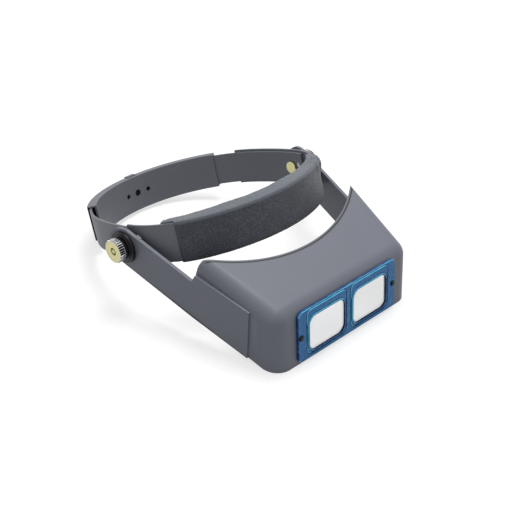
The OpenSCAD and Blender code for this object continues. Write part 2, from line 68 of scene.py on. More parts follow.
# ---- Visor hood
# One injection moulding in grey ABS: the hood, its two arms and the round seats at their ends.
# The tool's fine spark-eroded face leaves a satin grain, and its polished edges are softly broken.
# The third grey is a painted highlight for the broken edges, and the fourth a painted shade for the
# brow groove.
HOOD_GREY, HOOD_GREY_DEEP, EDGE_HIGHLIGHT_GREY, GROOVE_SHADE_GREY = "#70737f", "#6b6e79", "#9a9da6", "#08090b"
ABS_IOR = 1.53
ABS_GRAIN, ABS_CLOUD = 0.45, 28.0
FACE_LEAN = 6.0
HOOD_EDGE = 0.4
# The stops on the arms' inner edges: outer side, middle, half length, the arm's edge there and
# its slope, and how far they are lowered.
STOP_X, STOP_Y, STOP_HALF, STOP_Z, STOP_SLOPE, STOP_SUNK = 91.7, 3.35, 3, 63.7, 0.29, 0.45
# The opening's lower edge, on the face: half its width and the heights that it lies between, the
# hood's thickness there, and how far it is moved down.
OPENING, FACE_THICK, OPENING_SUNK = (44.3, 5.0, 11.5), 3, 3.1
# The panels' front ends: their side and place, a tolerance, and how far they are sunk.
PANEL_X, PANEL_FRONT, PANEL_NEAR, PANEL_SUNK = 78, -96.65, 0.3, 1.6
# The stiffening shelf in the foot: its top, a tolerance, how far that is lowered, and the lowest
# and highest corner of its recess behind the lenses.
SHELF_TOP, SHELF_NEAR, SHELF_SUNK = 2.4, 0.1, 1.1
SHELF_RECESS = ((-58.0, -118.8, -1.0), (58.0, -110.0, 3.0))
# The brow cut-out from above (middle, radius), and the painted shade line of its groove: how far
# in, half its width, the share of that over which it fades, and where it ends at both sides, with
# the length of its end.
BROW_PLAN = (46.85, 126.0)
GROOVE_IN, GROOVE_HALF, GROOVE_FADE, GROOVE_END = 1.7, 0.62, 0.4, (78, 1)

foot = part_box("visor_hood")[0].y
face_mm = (Matrix.Translation((0, foot, 0)) @ Matrix.Rotation(radians(-FACE_LEAN), 4, "X")
           @ Matrix.Rotation(radians(90), 4, "X") @ Matrix.Scale(MM, 4))


def linear(code):
    """The linear colour of an sRGB hex code."""
    parts = [int(code[i:i + 2], 16) / 255 for i in (1, 3, 5)]
    return [p / 12.92 if p <= 0.04045 else ((p + 0.055) / 1.055) ** 2.4 for p in parts] + [1.0]


def feed(tree, node, inputs):
    """Links or sets a node's inputs."""
    for name, value in inputs.items():
        if isinstance(value, bpy.types.NodeSocket):
            tree.links.new(value, node.inputs[name])
        else:
            node.inputs[name].default_value = value


def add(tree, kind, inputs, **settings):
    """Adds a node with its settings, and links or sets its inputs."""
    node = tree.nodes.new(kind)
    for name, value in settings.items():
        setattr(node, name, value)
    feed(tree, node, inputs)
    return node


def new_finish(name, plain):
    """Starts a material, with plain numbers on its shader's own sockets. It comes with its node
    tree, its shader, and the place on the object that its textures follow."""
    made = bpy.data.materials.new(name)
    made.use_nodes = True
    tree = made.node_tree
    shader = tree.nodes["Principled BSDF"]
    feed(tree, shader, plain)
    return made, tree, shader, add(tree, "ShaderNodeTexCoord", {}).outputs["Object"]


def moulded_abs(name, light, deep):
    """ABS from a grained mould: a broad satin sheen, and a slight cloudiness in its grey."""
    made, tree, shader, place = new_finish(name, {"IOR": ABS_IOR})
    cloud = add(tree, "ShaderNodeTexNoise", {"Vector": place,
                "Scale": 1 / (ABS_CLOUD * MM), "Detail": 2.0})
    grain = add(tree, "ShaderNodeTexNoise", {"Vector": place,
                "Scale": 1 / (ABS_GRAIN * MM), "Detail": 3.0, "Roughness": 0.6})
    grey = add(tree, "ShaderNodeMix", {"Factor": cloud.outputs["Fac"], "A": linear(deep),
               "B": linear(light)}, data_type="RGBA")
    rough = add(tree, "ShaderNodeMapRange", {"Value": grain.outputs["Fac"],
                "To Min": 0.42, "To Max": 0.6})
    bump = add(tree, "ShaderNodeBump", {"Height": grain.outputs["Fac"], "Strength": 0.12,
               "Distance": 0.05 * MM})
    feed(tree, shader, {"Base Color": grey.outputs["Result"], "Roughness": rough.outputs["Result"],
                        "Normal": bump.outputs["Normal"]})
    return made


def as_object(name, bm):
    """Makes an object of a bmesh, and frees the bmesh."""
    mesh = bpy.data.meshes.new(name)
    bm.to_mesh(mesh)
    bm.free()
    made = bpy.data.objects.new(name, mesh)
    bpy.context.scene.collection.objects.link(made)
    return made


def piece(name, bm, material, body, *nodes):
    """Makes a piece of a bmesh, rides it on its body, and lets it stand for its CAD nodes."""
    made = as_object(name, bm)
    made.data.materials.append(material)
    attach(made, body)
    if nodes:
        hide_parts(*nodes)
    return made


def smooth(made, angle=32):
    """Shades a piece smooth, apart from edges that turn by more than the angle."""
    made.data.shade_smooth()
    made.data.set_sharp_from_angle(angle=radians(angle))


def broken_edges(made, radius, highlight_material=None, segments=2):
    """Rounds a piece's sharp edges a little, as a moulding's are, and keeps its flats flat."""
    bevel = made.modifiers.new("broken edges", "BEVEL")
    # A paler material on the rounds is a painted highlight along the edges.
    if highlight_material:
        made.data.materials.append(highlight_material)
        bevel.material = len(made.data.materials) - 1
    bevel.width = radius * MM
    bevel.segments = segments
    bevel.angle_limit = radians(35)
    bevel.use_clamp_overlap = True
    weighted = made.modifiers.new("flat flats", "WEIGHTED_NORMAL")
    weighted.keep_sharp = True


def closed_copy(node):
    """A copy of a CAD node's mesh with its seams closed and its flats in one piece."""
    bm = bmesh.new()
    bm.from_mesh(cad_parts[node].data)
    bmesh.ops.remove_doubles(bm, verts=bm.verts, dist=2e-6)
    bmesh.ops.dissolve_limit(bm, angle_limit=radians(0.3), verts=bm.verts, edges=bm.edges)
    return bm


def cut(made, bms, operation="DIFFERENCE"):
    """Cuts closed shapes out of a piece, or joins them to it, for good."""
    others = []
    for bm in bms:
        other = as_object("cutter", bm)
        step = made.modifiers.new("cut", "BOOLEAN")
        step.operation = operation
        step.solver = "EXACT"
        step.object = other
        others.append(other)
    evaluated = made.evaluated_get(bpy.context.evaluated_depsgraph_get())
    result = bpy.data.meshes.new_from_object(evaluated)
    made.modifiers.clear()
    made.data = result
    for other in others:
        bpy.data.objects.remove(other)


# The hood's grey is even and half matt. Its broken edges get a paler grey than the faces beside
# them: a painted highlight where light catches the rounds.
hood_abs = moulded_abs("moulded_abs_hood", HOOD_GREY, HOOD_GREY_DEEP)
edge_highlight_abs = moulded_abs("moulded_abs_painted_edge_highlight", EDGE_HIGHLIGHT_GREY, HOOD_GREY)
# A fine groove runs round the hood's top, just in from the brow edge. It is too narrow to be cut in
# the mesh, so its shade is painted into the hood's grey as a dark line.
tree = hood_abs.node_tree
shader = tree.nodes["Principled BSDF"]
tone = shader.inputs["Base Color"].links[0].from_socket
place = add(tree, "ShaderNodeTexCoord", {}).outputs["Object"]
plan = add(tree, "ShaderNodeVectorMath", {0: place, 1: (0, BROW_PLAN[0] * MM, 0)},
           operation="SUBTRACT")
flat_plan = add(tree, "ShaderNodeVectorMath", {0: plan.outputs["Vector"], 1: (1, 1, 0)},
                operation="MULTIPLY")
reach = add(tree, "ShaderNodeVectorMath", {0: flat_plan.outputs["Vector"]}, operation="LENGTH")
off = add(tree, "ShaderNodeMath", {0: reach.outputs["Value"], 1: (BROW_PLAN[1] + GROOVE_IN) * MM},
          operation="SUBTRACT")
off = add(tree, "ShaderNodeMath", {0: off.outputs["Value"]}, operation="ABSOLUTE")
groove_shade = add(tree, "ShaderNodeMapRange", {"Value": off.outputs["Value"], "To Min": 1.0, "To Max": 0.0,
           "From Min": GROOVE_HALF * (1 - GROOVE_FADE) * MM,
           "From Max": GROOVE_HALF * (1 + GROOVE_FADE) * MM})
axes = add(tree, "ShaderNodeSeparateXYZ", {"Vector": place})
across = add(tree, "ShaderNodeMath", {0: axes.outputs["X"]}, operation="ABSOLUTE")
side, end = GROOVE_END
on_top = add(tree, "ShaderNodeMapRange", {"Value": across.outputs["Value"], "To Min": 1.0,
             "To Max": 0.0, "From Min": (side - end) * MM, "From Max": (side + end) * MM})
groove_shade = add(tree, "ShaderNodeMath", {0: groove_shade.outputs["Result"], 1: on_top.outputs["Result"]},
           operation="MULTIPLY")
# The groove's painted shade darkens the grey along the line.
groove_shaded = add(tree, "ShaderNodeMix", {"Factor": groove_shade.outputs["Value"], "A": tone,
            "B": linear(GROOVE_SHADE_GREY)}, data_type="RGBA")
feed(tree, shader, {"Base Color": groove_shaded.outputs["Result"]})

hood_bm = closed_copy("visor_hood")
for v in hood_bm.verts:
    x, y, z = abs(v.co.x) / MM, v.co.y / MM, v.co.z / MM
    if x < STOP_X and abs(y - STOP_Y) < STOP_HALF and z > STOP_Z + STOP_SLOPE * (y - STOP_Y):
        v.co.z -= STOP_SUNK * MM
    on_face = face_mm.inverted() @ v.co
    inside = abs(on_face.x) < OPENING[0] and abs(on_face.z) < FACE_THICK
    if inside and OPENING[1] < on_face.y < OPENING[2]:
        v.co = face_mm @ (on_face - Vector((0, OPENING_SUNK, 0)))
    if x > PANEL_X and abs(y - PANEL_FRONT) < PANEL_NEAR:
        v.co.x *= 1 - PANEL_SUNK / x
    if abs(z - SHELF_TOP) < SHELF_NEAR:
        v.co.z -= SHELF_SUNK * MM
hood = piece("hood_shell", hood_bm, hood_abs, "visor", "visor_hood")
recess = bmesh.new()
bmesh.ops.create_cube(recess, size=1)
low, high = (Vector(corner) * MM for corner in SHELF_RECESS)
bmesh.ops.scale(recess, vec=high - low, verts=recess.verts)
bmesh.ops.translate(recess, vec=(low + high) / 2, verts=recess.verts)
cut(hood, [recess])
smooth(hood)
broken_edges(hood, HOOD_EDGE, edge_highlight_abs)

# ---- Lens plate
# A clear blue polycarbonate moulding, snapped on two studs. Each window has a terraced rim, whose
# polished steps catch the light as thin lines, and a ledge behind that holds the lens.
PLATE_SIZE, PLATE_CORNER, PLATE_EDGE, PLATE_CHAMFER = (106.0, 41.5), 5.0, 0.12, 0.45
PLATE_LIFT = 1.8
# The flange's back and front, and the windows with the bridge between them. The windows' lift is
# above the plate's lower edge.
FLANGE = (0.06, 2.16)
WINDOW_SIZE, WINDOW_CORNER, WINDOW_LIFT, BRIDGE = (36.9, 27.7), 6.0, 5.9, 9.8
# The frame round each window, and the rim round it on top of the frame: how much wider than the
# window, how high, and the chamfer (in, up).
FRAME_WIDE, FRAME_TOP_WIDE, FRAME_CORNER = 2.4, 7.0, 4.5
FRAME_HIGH, FRAME_CHAMFER = 2.6, (0.6, 0.5)
RIM_WIDE, RIM_HIGH, RIM_CHAMFER = 1.6, 3.06, (0.6, 0.5)
STEP_FOOT = 1.1
# The grooves round frame and rim (width, depth), the chamfer at a window's mouth, and the ledge
# behind it for the lens (how much wider than the window, how high).
GROOVE, MOUTH_CHAMFER, LEDGE = (0.6, 0.4), 0.35, (0.8, 1.62)
# The studs, the notches round them, and each notch's slit to the plate's end: half its width,
# its length, and its cutter's corners.
STUD_PLACE, NOTCH_R, SLIT_HALF, SLIT_RUN, SLIT_CORNER = (50.1, 22.55), 2.3, 0.6, 6, 0.2
# What the plate's painted light and shade are told by: how far forwards a front and a wall face,
# how near a groove's floor a face lies, and how far in the plate's ends reach.
FRONT_LEAN, WALL_LEAN, FLOOR_NEAR, END_RUN = 0.9, 0.4, 0.02, 0.5
# Cutters reach this far from the plate's back, through all of it.
THROUGH = 6
PLASTIC_IOR, PLASTIC_SHINE = 1.585, 0.08
# Sizes of the flow marks and of the swirls of painted highlight, and that highlight's pale blue.
FLOW_MARK, HIGHLIGHT_SWIRL = 6, 3.2
PAINTED_GLINT_BLUE = "#8ae0ff"


def stepped_block(width, height, radius, low, high, centre, *steps):
    """A block with rounded upright corners, whose top goes in and up by each step's amounts."""
    bm = bmesh.new()
    bmesh.ops.create_grid(bm, x_segments=1, y_segments=1, size=0.5)
    bmesh.ops.scale(bm, vec=(width, height, 1), verts=bm.verts)
    bmesh.ops.bevel(bm, geom=bm.verts[:], offset=radius, affect="VERTICES", segments=12,
                    profile=0.5, material=-1)
    bmesh.ops.translate(bm, vec=(centre[0], centre[1], low), verts=bm.verts)
    grown = bmesh.ops.extrude_face_region(bm, geom=bm.faces[:])["geom"]
    top = [g for g in grown if isinstance(g, bmesh.types.BMFace)]
    bmesh.ops.translate(bm, vec=(0, 0, high - low), verts=top[0].verts)
    for inset, rise in steps:
        bmesh.ops.inset_region(bm, faces=top, thickness=inset, use_even_offset=True)
        bmesh.ops.translate(bm, vec=(0, 0, rise), verts=top[0].verts)
    bmesh.ops.recalc_face_normals(bm, faces=bm.faces)
    return bm


def window_centre(side):
    """The middle of a window on the face: -1 is the right one and 1 the left one."""
    return (side * (BRIDGE + WINDOW_SIZE[0]) / 2, PLATE_LIFT + WINDOW_LIFT + WINDOW_SIZE[1] / 2)


def clear_blue(name, thin, thick, through, smoothest, dullest, painted_glints):
    """Polycarbonate: glossy and tinted right through, with faint flow marks in its tint, and pale
    swirls of painted highlight in place of caught light."""
    made, tree, shader, place = new_finish(
        name, {"IOR": PLASTIC_IOR, "Transmission Weight": through,
               "Specular IOR Level": PLASTIC_SHINE})
    flow = add(tree, "ShaderNodeTexNoise", {"Vector": place,
               "Scale": 1 / (FLOW_MARK * MM), "Detail": 2.0, "Distortion": 0.6})
    tint = add(tree, "ShaderNodeMix", {"Factor": flow.outputs["Fac"], "A": linear(thick),
               "B": linear(thin)}, data_type="RGBA")
    highlight_swirl = add(tree, "ShaderNodeTexNoise", {"Vector": place,
                "Scale": 1 / (HIGHLIGHT_SWIRL * MM), "Detail": 3.0, "Distortion": 1.2})
    painted_glint = add(tree, "ShaderNodeMapRange", {"Value": highlight_swirl.outputs["Fac"], "From Min": 0.54,
                "From Max": 0.68, "To Min": 0.0, "To Max": painted_glints})
    tint = add(tree, "ShaderNodeMix", {"Factor": painted_glint.outputs["Result"],
               "A": tint.outputs["Result"], "B": linear(PAINTED_GLINT_BLUE)}, data_type="RGBA")
    gloss = add(tree, "ShaderNodeMapRange", {"Value": flow.outputs["Fac"], "To Min": smoothest,
                "To Max": dullest})
    feed(tree, shader, {"Base Color": tint.outputs["Result"], "Roughness": gloss.outputs["Result"]})
    return made


# The plate's tints by face are painted light and shade: its chamfers are painted pale as a
# highlight of light gathered in the moulding, its cut walls get a deeper painted shade, and its
# grooves and the windows' walls a near-dark painted shade.
FACE, CHAMFER_PAINTED_LIGHT, WALL_PAINTED_SHADE, GROOVE_PAINTED_SHADE = range(4)
blues = [clear_blue("clear_blue_polycarbonate" + part, *finish) for part, finish in (
    ("", ("#0090dc", "#0074c0", 0.35, 0.08, 0.16, 0.3)),
    ("_chamfer_painted_highlight", ("#86e6ff", "#40b4f0", 0.1, 0.05, 0.12, 0.8)),
    ("_wall_painted_shade", ("#0054a4", "#00305f", 0.2, 0.08, 0.16, 0.2)),
    ("_groove_painted_shade", ("#00386e", "#001c3e", 0.1, 0.08, 0.16, 0.1)))]

flange = stepped_block(*PLATE_SIZE, PLATE_CORNER, FLANGE[0], FLANGE[1] - PLATE_CHAMFER,
                       (0, PLATE_LIFT + PLATE_SIZE[1] / 2), (PLATE_CHAMFER, PLATE_CHAMFER))
plate = piece("lens_plate_blue", flange, blues[FACE], "lens_unit", "lens_plate")
for tint in blues[CHAMFER_PAINTED_LIGHT:]:
    plate.data.materials.append(tint)


def grown(side, wide, top_wide, corner, low, high, *steps):
    """A block as large as a window and wider by a margin, which may be larger above it."""
    x, y = window_centre(side)
    return stepped_block(WINDOW_SIZE[0] + 2 * wide, WINDOW_SIZE[1] + wide + top_wide, corner,
                         low, high, (x, y + (top_wide - wide) / 2), *steps)


frames, rims, frame_grooves, rim_grooves, openings = [], [], [], [], []
for side in (-1, 1):
    gap, depth = GROOVE
    frame_grooves.append(grown(side, FRAME_WIDE + gap, FRAME_TOP_WIDE + gap, FRAME_CORNER + gap,
                               FLANGE[1] - depth, THROUGH))
    frames.append(grown(side, FRAME_WIDE, FRAME_TOP_WIDE, FRAME_CORNER, STEP_FOOT,
                        FRAME_HIGH - FRAME_CHAMFER[1], FRAME_CHAMFER))
    rim_grooves.append(grown(side, RIM_WIDE + gap, RIM_WIDE + gap, WINDOW_CORNER + RIM_WIDE + gap,
                             FRAME_HIGH - depth, THROUGH))
    rims.append(grown(side, RIM_WIDE, RIM_WIDE, WINDOW_CORNER + RIM_WIDE, STEP_FOOT,
                      RIM_HIGH - RIM_CHAMFER[1], RIM_CHAMFER))
    # The window's cutter is built front side down: a wide mouth, then its chamfer, then straight.
    mouth = grown(side, MOUTH_CHAMFER, MOUTH_CHAMFER, WINDOW_CORNER + MOUTH_CHAMFER, -THROUGH,
                  -RIM_HIGH, (MOUTH_CHAMFER, MOUTH_CHAMFER), (0.001, 4))
    bmesh.ops.scale(mouth, vec=(1, 1, -1), verts=mouth.verts)
    bmesh.ops.recalc_face_normals(mouth, faces=mouth.faces)
    openings.append(mouth)
    openings.append(grown(side, LEDGE[0], LEDGE[0], WINDOW_CORNER + LEDGE[0], -1, LEDGE[1]))
    notch = bmesh.new()
    bmesh.ops.create_cone(notch, cap_ends=True, segments=40, radius1=NOTCH_R, radius2=NOTCH_R,
                          depth=2 * THROUGH)
    bmesh.ops.translate(notch, vec=(side * STUD_PLACE[0], STUD_PLACE[1], 0), verts=notch.verts)
    openings.append(notch)
    openings.append(stepped_block(SLIT_RUN, 2 * SLIT_HALF, SLIT_CORNER, -THROUGH, THROUGH,
                                  (side * (STUD_PLACE[0] + SLIT_RUN / 2), STUD_PLACE[1])))
cut(plate, frame_grooves)
cut(plate, frames, "UNION")
cut(plate, rim_grooves)
cut(plate, rims, "UNION")
cut(plate, openings)


def past_window(x, y):
    """How far a place on the plate lies outside its side's window."""
    middle = window_centre(1 if x > 0 else -1)
    return hypot(max(0, abs(x - middle[0]) - WINDOW_SIZE[0] / 2 + WINDOW_CORNER),
                 max(0, abs(y - middle[1]) - WINDOW_SIZE[1] / 2 + WINDOW_CORNER)) - WINDOW_CORNER


# Each face takes its painted light or shade by how it leans and where it lies: chamfers the painted
# highlight, groove floors and sides and the windows' mouths the near-dark painted shade, other
# walls the deeper painted shade.
for flat in plate.data.polygons:
    lean, at = abs(flat.normal.z), flat.center
    above_floor = min(abs(at.z - top + GROOVE[1]) for top in (FLANGE[1], FRAME_HIGH))
    shaded_groove_side = lean < WALL_LEAN and at.z > FLANGE[1] - GROOVE[1]
    if lean > FRONT_LEAN:
        flat.material_index = GROOVE_PAINTED_SHADE if above_floor < FLOOR_NEAR else FACE
    elif shaded_groove_side or past_window(at.x, at.y) < MOUTH_CHAMFER:
        flat.material_index = GROOVE_PAINTED_SHADE
    elif lean > WALL_LEAN and abs(at.x) < PLATE_SIZE[0] / 2 - END_RUN:
        flat.material_index = CHAMFER_PAINTED_LIGHT
    else:
        flat.material_index = WALL_PAINTED_SHADE
plate.data.transform(face_mm)
smooth(plate, 25)
broken_edges(plate, PLATE_EDGE)

# ---- Lenses
# A pair of equal convex lenses, cast in clear acrylic and cut to the windows' shape. Their faces
# are polished, so they show only a faint smear and what lies behind them.
LENS_EDGE, LENS_CURVE, LENS_ARC = 1.5, 420.0, 24
# The gap to the window's wall, and how far the lens's lip reaches past the window onto its ledge.
LENS_FREE, LENS_LIP = 0.05, 0.75
# A blank's back and front.
LENS_BLANK = (-2, 4)
ACRYLIC_IOR = 1.49
LENS_SCRATCH, LENS_SMEAR = 0.8, 14

# Ground acrylic: the lens's cut edge is matt and white.
lens_ground, tree, shader, place = new_finish(
    "ground_acrylic_edge", {"IOR": ACRYLIC_IOR, "Roughness": 0.8})
scratch = add(tree, "ShaderNodeTexNoise", {"Vector": place, "Scale": 1 / (LENS_SCRATCH * MM),
              "Detail": 2.0})
frosted = add(tree, "ShaderNodeMix", {"Factor": scratch.outputs["Fac"], "A": linear("#e9edf0"),
              "B": linear("#fbfcfd")}, data_type="RGBA")
feed(tree, shader, {"Base Color": frosted.outputs["Result"]})

# Polished acrylic: clear as water, with a trace of haze where it was wiped.
lens_clear, tree, shader, place = new_finish(
    "cast_clear_acrylic", {"IOR": ACRYLIC_IOR, "Transmission Weight": 1.0})
smear = add(tree, "ShaderNodeTexNoise", {"Vector": place, "Scale": 1 / (LENS_SMEAR * MM),
            "Detail": 3.0})
haze = add(tree, "ShaderNodeMapRange", {"Value": smear.outputs["Fac"], "From Min": 0.4,
           "From Max": 0.75, "To Min": 0.0, "To Max": 0.05})
clear = add(tree, "ShaderNodeMix", {"Factor": smear.outputs["Fac"], "A": linear("#ffffff"),
            "B": linear("#fafbfc")}, data_type="RGBA")
feed(tree, shader, {"Roughness": haze.outputs["Result"], "Base Color": clear.outputs["Result"]})


def turned(profile, steps=72):
    """A shape turned about the Z axis from a profile of (radius, height), in millimetres. The
    profile ends on the axis, or else is closed to a ring."""
    bm = bmesh.new()
    verts = [bm.verts.new((r, 0, z)) for r, z in profile]
    pairs = list(zip(verts, verts[1:]))
    if profile[0][0] > 0:
        pairs.append((verts[-1], verts[0]))
    edges = [bm.edges.new(pair) for pair in pairs]
    bmesh.ops.spin(bm, geom=verts + edges, cent=(0, 0, 0), axis=(0, 0, 1), dvec=(0, 0, 0),
                   angle=2 * pi, steps=steps, use_merge=True, use_duplicate=False)
    bmesh.ops.remove_doubles(bm, verts=bm.verts, dist=1e-5)
    bmesh.ops.recalc_face_normals(bm, faces=bm.faces)
    return bm


# Half the lens's profile, from the middle to just short of where its two faces would meet.
half = LENS_EDGE / 2 + WINDOW_SIZE[0] ** 2 / (8 * LENS_CURVE)
rim_r = sqrt(2 * LENS_CURVE * half) * 0.998
arc = [(rim_r * i / LENS_ARC, half - (rim_r * i / LENS_ARC) ** 2 / (2 * LENS_CURVE))
       for i in range(LENS_ARC + 1)]
for side, hand in ((-1, "right"), (1, "left")):
    x, y = window_centre(side)
    body = stepped_block(WINDOW_SIZE[0] - 2 * LENS_FREE, WINDOW_SIZE[1] - 2 * LENS_FREE,
                         WINDOW_CORNER - LENS_FREE, *LENS_BLANK, (x, y))
    lens = piece("lens_" + hand + "_clear", body, lens_clear, "lens_unit", "lens_" + hand)
    lip = stepped_block(WINDOW_SIZE[0] + 2 * LENS_LIP, WINDOW_SIZE[1] + 2 * LENS_LIP,
                        WINDOW_CORNER + LENS_LIP, FLANGE[0], FLANGE[0] + LENS_EDGE, (x, y))
    cut(lens, [lip], "UNION")
    disc = turned([(r, -z) for r, z in arc] + arc[::-1], 96)
    bmesh.ops.translate(disc, vec=(x, y, FLANGE[0] + LENS_EDGE / 2), verts=disc.verts)
    cut(lens, [disc], "INTERSECT")
    lens.data.materials.append(lens_ground)
    for flat in lens.data.polygons:
        flat.material_index = int(abs(flat.normal.z) < 0.5)
    lens.data.transform(face_mm)
    smooth(lens, 20)

# ---- Plate studs
# Two pins of black nylon, riveted through the hood's face. Their domed heads stand in the
# plate's notches and hold it by friction.
STUD_R, STUD_FOOT = 1.8, 1.2
# Heights on the face's axis: the riveted foot's two sides, and the top of the head.
STUD_STACK = (-3.66, -2.46, 3.66)
SCUFF = 1.2

# Nylon: smooth and dark, with a low soft gloss.
nylon_black, tree, shader, place = new_finish(
    "black_nylon", {"IOR": 1.53, "Specular IOR Level": 0.25})
scuff = add(tree, "ShaderNodeTexNoise", {"Vector": place, "Scale": 1 / (SCUFF * MM), "Detail": 4.0})
black = add(tree, "ShaderNodeMix", {"Factor": scuff.outputs["Fac"], "A": linear("#0d0e10"),
            "B": linear("#191a1d")}, data_type="RGBA")
sheen = add(tree, "ShaderNodeMapRange", {"Value": scuff.outputs["Fac"], "To Min": 0.25,
            "To Max": 0.5})
feed(tree, shader, {"Base Color": black.outputs["Result"], "Roughness": sheen.outputs["Result"]})

for side, hand in ((-1, "right"), (1, "left")):
    low, under, high = STUD_STACK
    foot_r = STUD_R + STUD_FOOT
    pin = turned([(0, low), (foot_r - 0.3, low), (foot_r, low + 0.3), (foot_r, under),
                  (STUD_R, under), (STUD_R, high - 0.7), (STUD_R - 0.2, high - 0.3),
                  (STUD_R - 0.6, high - 0.08), (0, high)], 48)
    bmesh.ops.translate(pin, vec=(side * STUD_PLACE[0], STUD_PLACE[1], 0), verts=pin.verts)
    pin.transform(face_mm)
    made = piece("stud_" + hand, pin, nylon_black, "visor", "plate_stud_" + hand)
    smooth(made, 40)

# ---- Headband
# Three mouldings in the same grey ABS: the front band with its tongue, the rear strap, and the
# sleeve that both slide in. They are thin and springy, with a slightly deeper grey than the hood.
BAND_GREY, BAND_GREY_DEEP = "#6a6d76", "#656870"
BAND_EDGE = 0.32
BAND_TILT = 19.5
# The strips' thickness, the heights of band and straps, and how far the rear strap lies inside
# the band's line.
BAND_T, BAND_H, STRAP_H, LAP = 1.8, 29.0, 25.5, 2.1
# The loop from above, as arcs (x, y, radius) that join at these angles on the left side, and the
# angles at which the band, the tongue and the rear strap start and end.
BROW = (0, 37.917, 108.417)
TURN = (25.0, 0, 63.0)
SIDE = (-108.0, 0, 196.0)
REAR = (0, 24.3, 85.3)
BROW_A, SIDE_A, END_A, TONGUE_A = -56.6015, 12.6804, 24.5, 114.0
TONGUE_FRONT_A, STRAP_FRONT_A = -4, -13.774
# The setting holes: their spacing, each one's step and radius, how much wider the straps' are,
# and the drill's length and middle, which is this far in from the rear arc.
HOLE_A, SETTING_HOLES, STRAP_HOLE_WIDER = 7.7, ((-1, 2.0), (0, 2.8), (1, 2.0)), 2.4
DRILL_LONG, DRILL_IN = 12, 5.8
# The gap that thins the sleeve's outer wall at each mouth: half the sleeve's span, the gap's run,
# how far out it reaches, and its height.
SLEEVE_A, MOUTH_RUN, MOUTH_GAP, MOUTH_H = 52.0, 6.0, 1.58, 27.2

nut_low, nut_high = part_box("thumb_nut_left")
pivot = Vector((0, (nut_low.y + nut_high.y) / 2, (nut_low.z + nut_high.z) / 2))
band_mm = (Matrix.Translation(pivot) @ Matrix.Rotation(radians(-BAND_TILT), 4, "X")
           @ Matrix.Scale(MM, 4))


def swept(bm, verts, arcs, start_capped=True):
    """Sweeps a closed ring of points round arcs of (x, y, angle, steps), and caps its ends."""
    last = verts + [bm.edges.new(pair) for pair in zip(verts, verts[1:] + verts[:1])]
    if start_capped:
        bmesh.ops.edgeloop_fill(bm, edges=last[len(verts):])
    for x, y, angle, steps in arcs:
        last = bmesh.ops.spin(bm, geom=last, cent=(x, y, 0), axis=(0, 0, 1), dvec=(0, 0, 0),
                              angle=angle, steps=steps, use_merge=False,
                              use_duplicate=False)["geom_last"]
    bmesh.ops.edgeloop_fill(bm, edges=[g for g in last if isinstance(g, bmesh.types.BMEdge)])


def strip(height, inner, *arcs):
    """A flat strip of moulding, this far inside arcs that join smoothly. Each is (x, y, radius,
    from, to)."""
    bm = bmesh.new()
    x, y, r, a, _ = arcs[0]
    way = Vector((cos(radians(a)), sin(radians(a)), 0))
    top = height / 2
    verts = [bm.verts.new(Vector((x, y, z)) + way * (r - inner - t))
             for t, z in ((0, top), (BAND_T, top), (BAND_T, -top), (0, -top))]
    swept(bm, verts, [(x, y, radians(b - a), max(4, round(abs(b - a) / 1.5)))
                      for x, y, r, a, b in arcs])
    bmesh.ops.recalc_face_normals(bm, faces=bm.faces)
    return bm


def mirrored(x, y, r, a, b):
    """The same arc on the right side."""
    return (-x, y, r, 180 - a, 180 - b)


def setting_holes(wider=0):
    """Drills for the three setting holes, as far as the sleeve's outer wall."""
    drills = []
    for i, r in SETTING_HOLES:
        drill = bmesh.new()
        bmesh.ops.create_cone(drill, cap_ends=True, segments=32, radius1=r + wider,
                              radius2=r + wider, depth=DRILL_LONG)
        bmesh.ops.rotate(drill, verts=drill.verts, cent=(0, 0, 0),
                         matrix=Matrix.Rotation(pi / 2, 3, "X"))
        bmesh.ops.translate(drill, vec=(0, REAR[2] - DRILL_IN, 0), verts=drill.verts)
        bmesh.ops.rotate(drill, verts=drill.verts, cent=(0, 0, 0),
                         matrix=Matrix.Rotation(radians(i * HOLE_A), 3, "Z"))
        bmesh.ops.translate(drill, vec=(0, REAR[1], 0), verts=drill.verts)
        drills.append(drill)
    return drills


band_abs = moulded_abs("moulded_abs_band", BAND_GREY, BAND_GREY_DEEP)
brow_part = strip(BAND_H, 0, mirrored(*TURN, 0, BROW_A), (*BROW, 180 - BROW_A, 360 + BROW_A),
                  (*TURN, BROW_A, 0), (*SIDE, 0, SIDE_A), (*REAR, SIDE_A, END_A))
band = piece("band_front", brow_part, band_abs, "headband", "front_band")
tongue = strip(STRAP_H, 0, mirrored(*TURN, TONGUE_FRONT_A, 0), mirrored(*SIDE, 0, SIDE_A),
               mirrored(*REAR, SIDE_A, TONGUE_A))
cut(band, [tongue], "UNION")
cut(band, setting_holes(STRAP_HOLE_WIDER))
strap = piece("strap_rear", strip(STRAP_H, LAP, (*TURN, STRAP_FRONT_A, 0), (*SIDE, 0, SIDE_A),
                                  (*REAR, SIDE_A, TONGUE_A)), band_abs, "headband", "rear_strap")
cut(strap, setting_holes(STRAP_HOLE_WIDER))
# Their rounded edges take the paler grey, a painted highlight.
for made in (band, strap):
    made.data.transform(band_mm)
    smooth(made)
    broken_edges(made, BAND_EDGE, edge_highlight_abs)
sleeve = piece("sleeve_rear", closed_copy("rear_sleeve"), band_abs, "sleeve", "rear_sleeve")
sleeve.data.transform(band_mm.inverted())
cut(sleeve, setting_holes())
cut(sleeve, [strip(MOUTH_H, -MOUTH_GAP, (*REAR, 90 + side * (SLEEVE_A - MOUTH_RUN),
                                         90 + side * (SLEEVE_A + 1))) for side in (-1, 1)])
sleeve.data.transform(band_mm)
smooth(sleeve)
# Its rounded edges take the paler grey too, a painted highlight.
broken_edges(sleeve, BAND_EDGE, edge_highlight_abs)

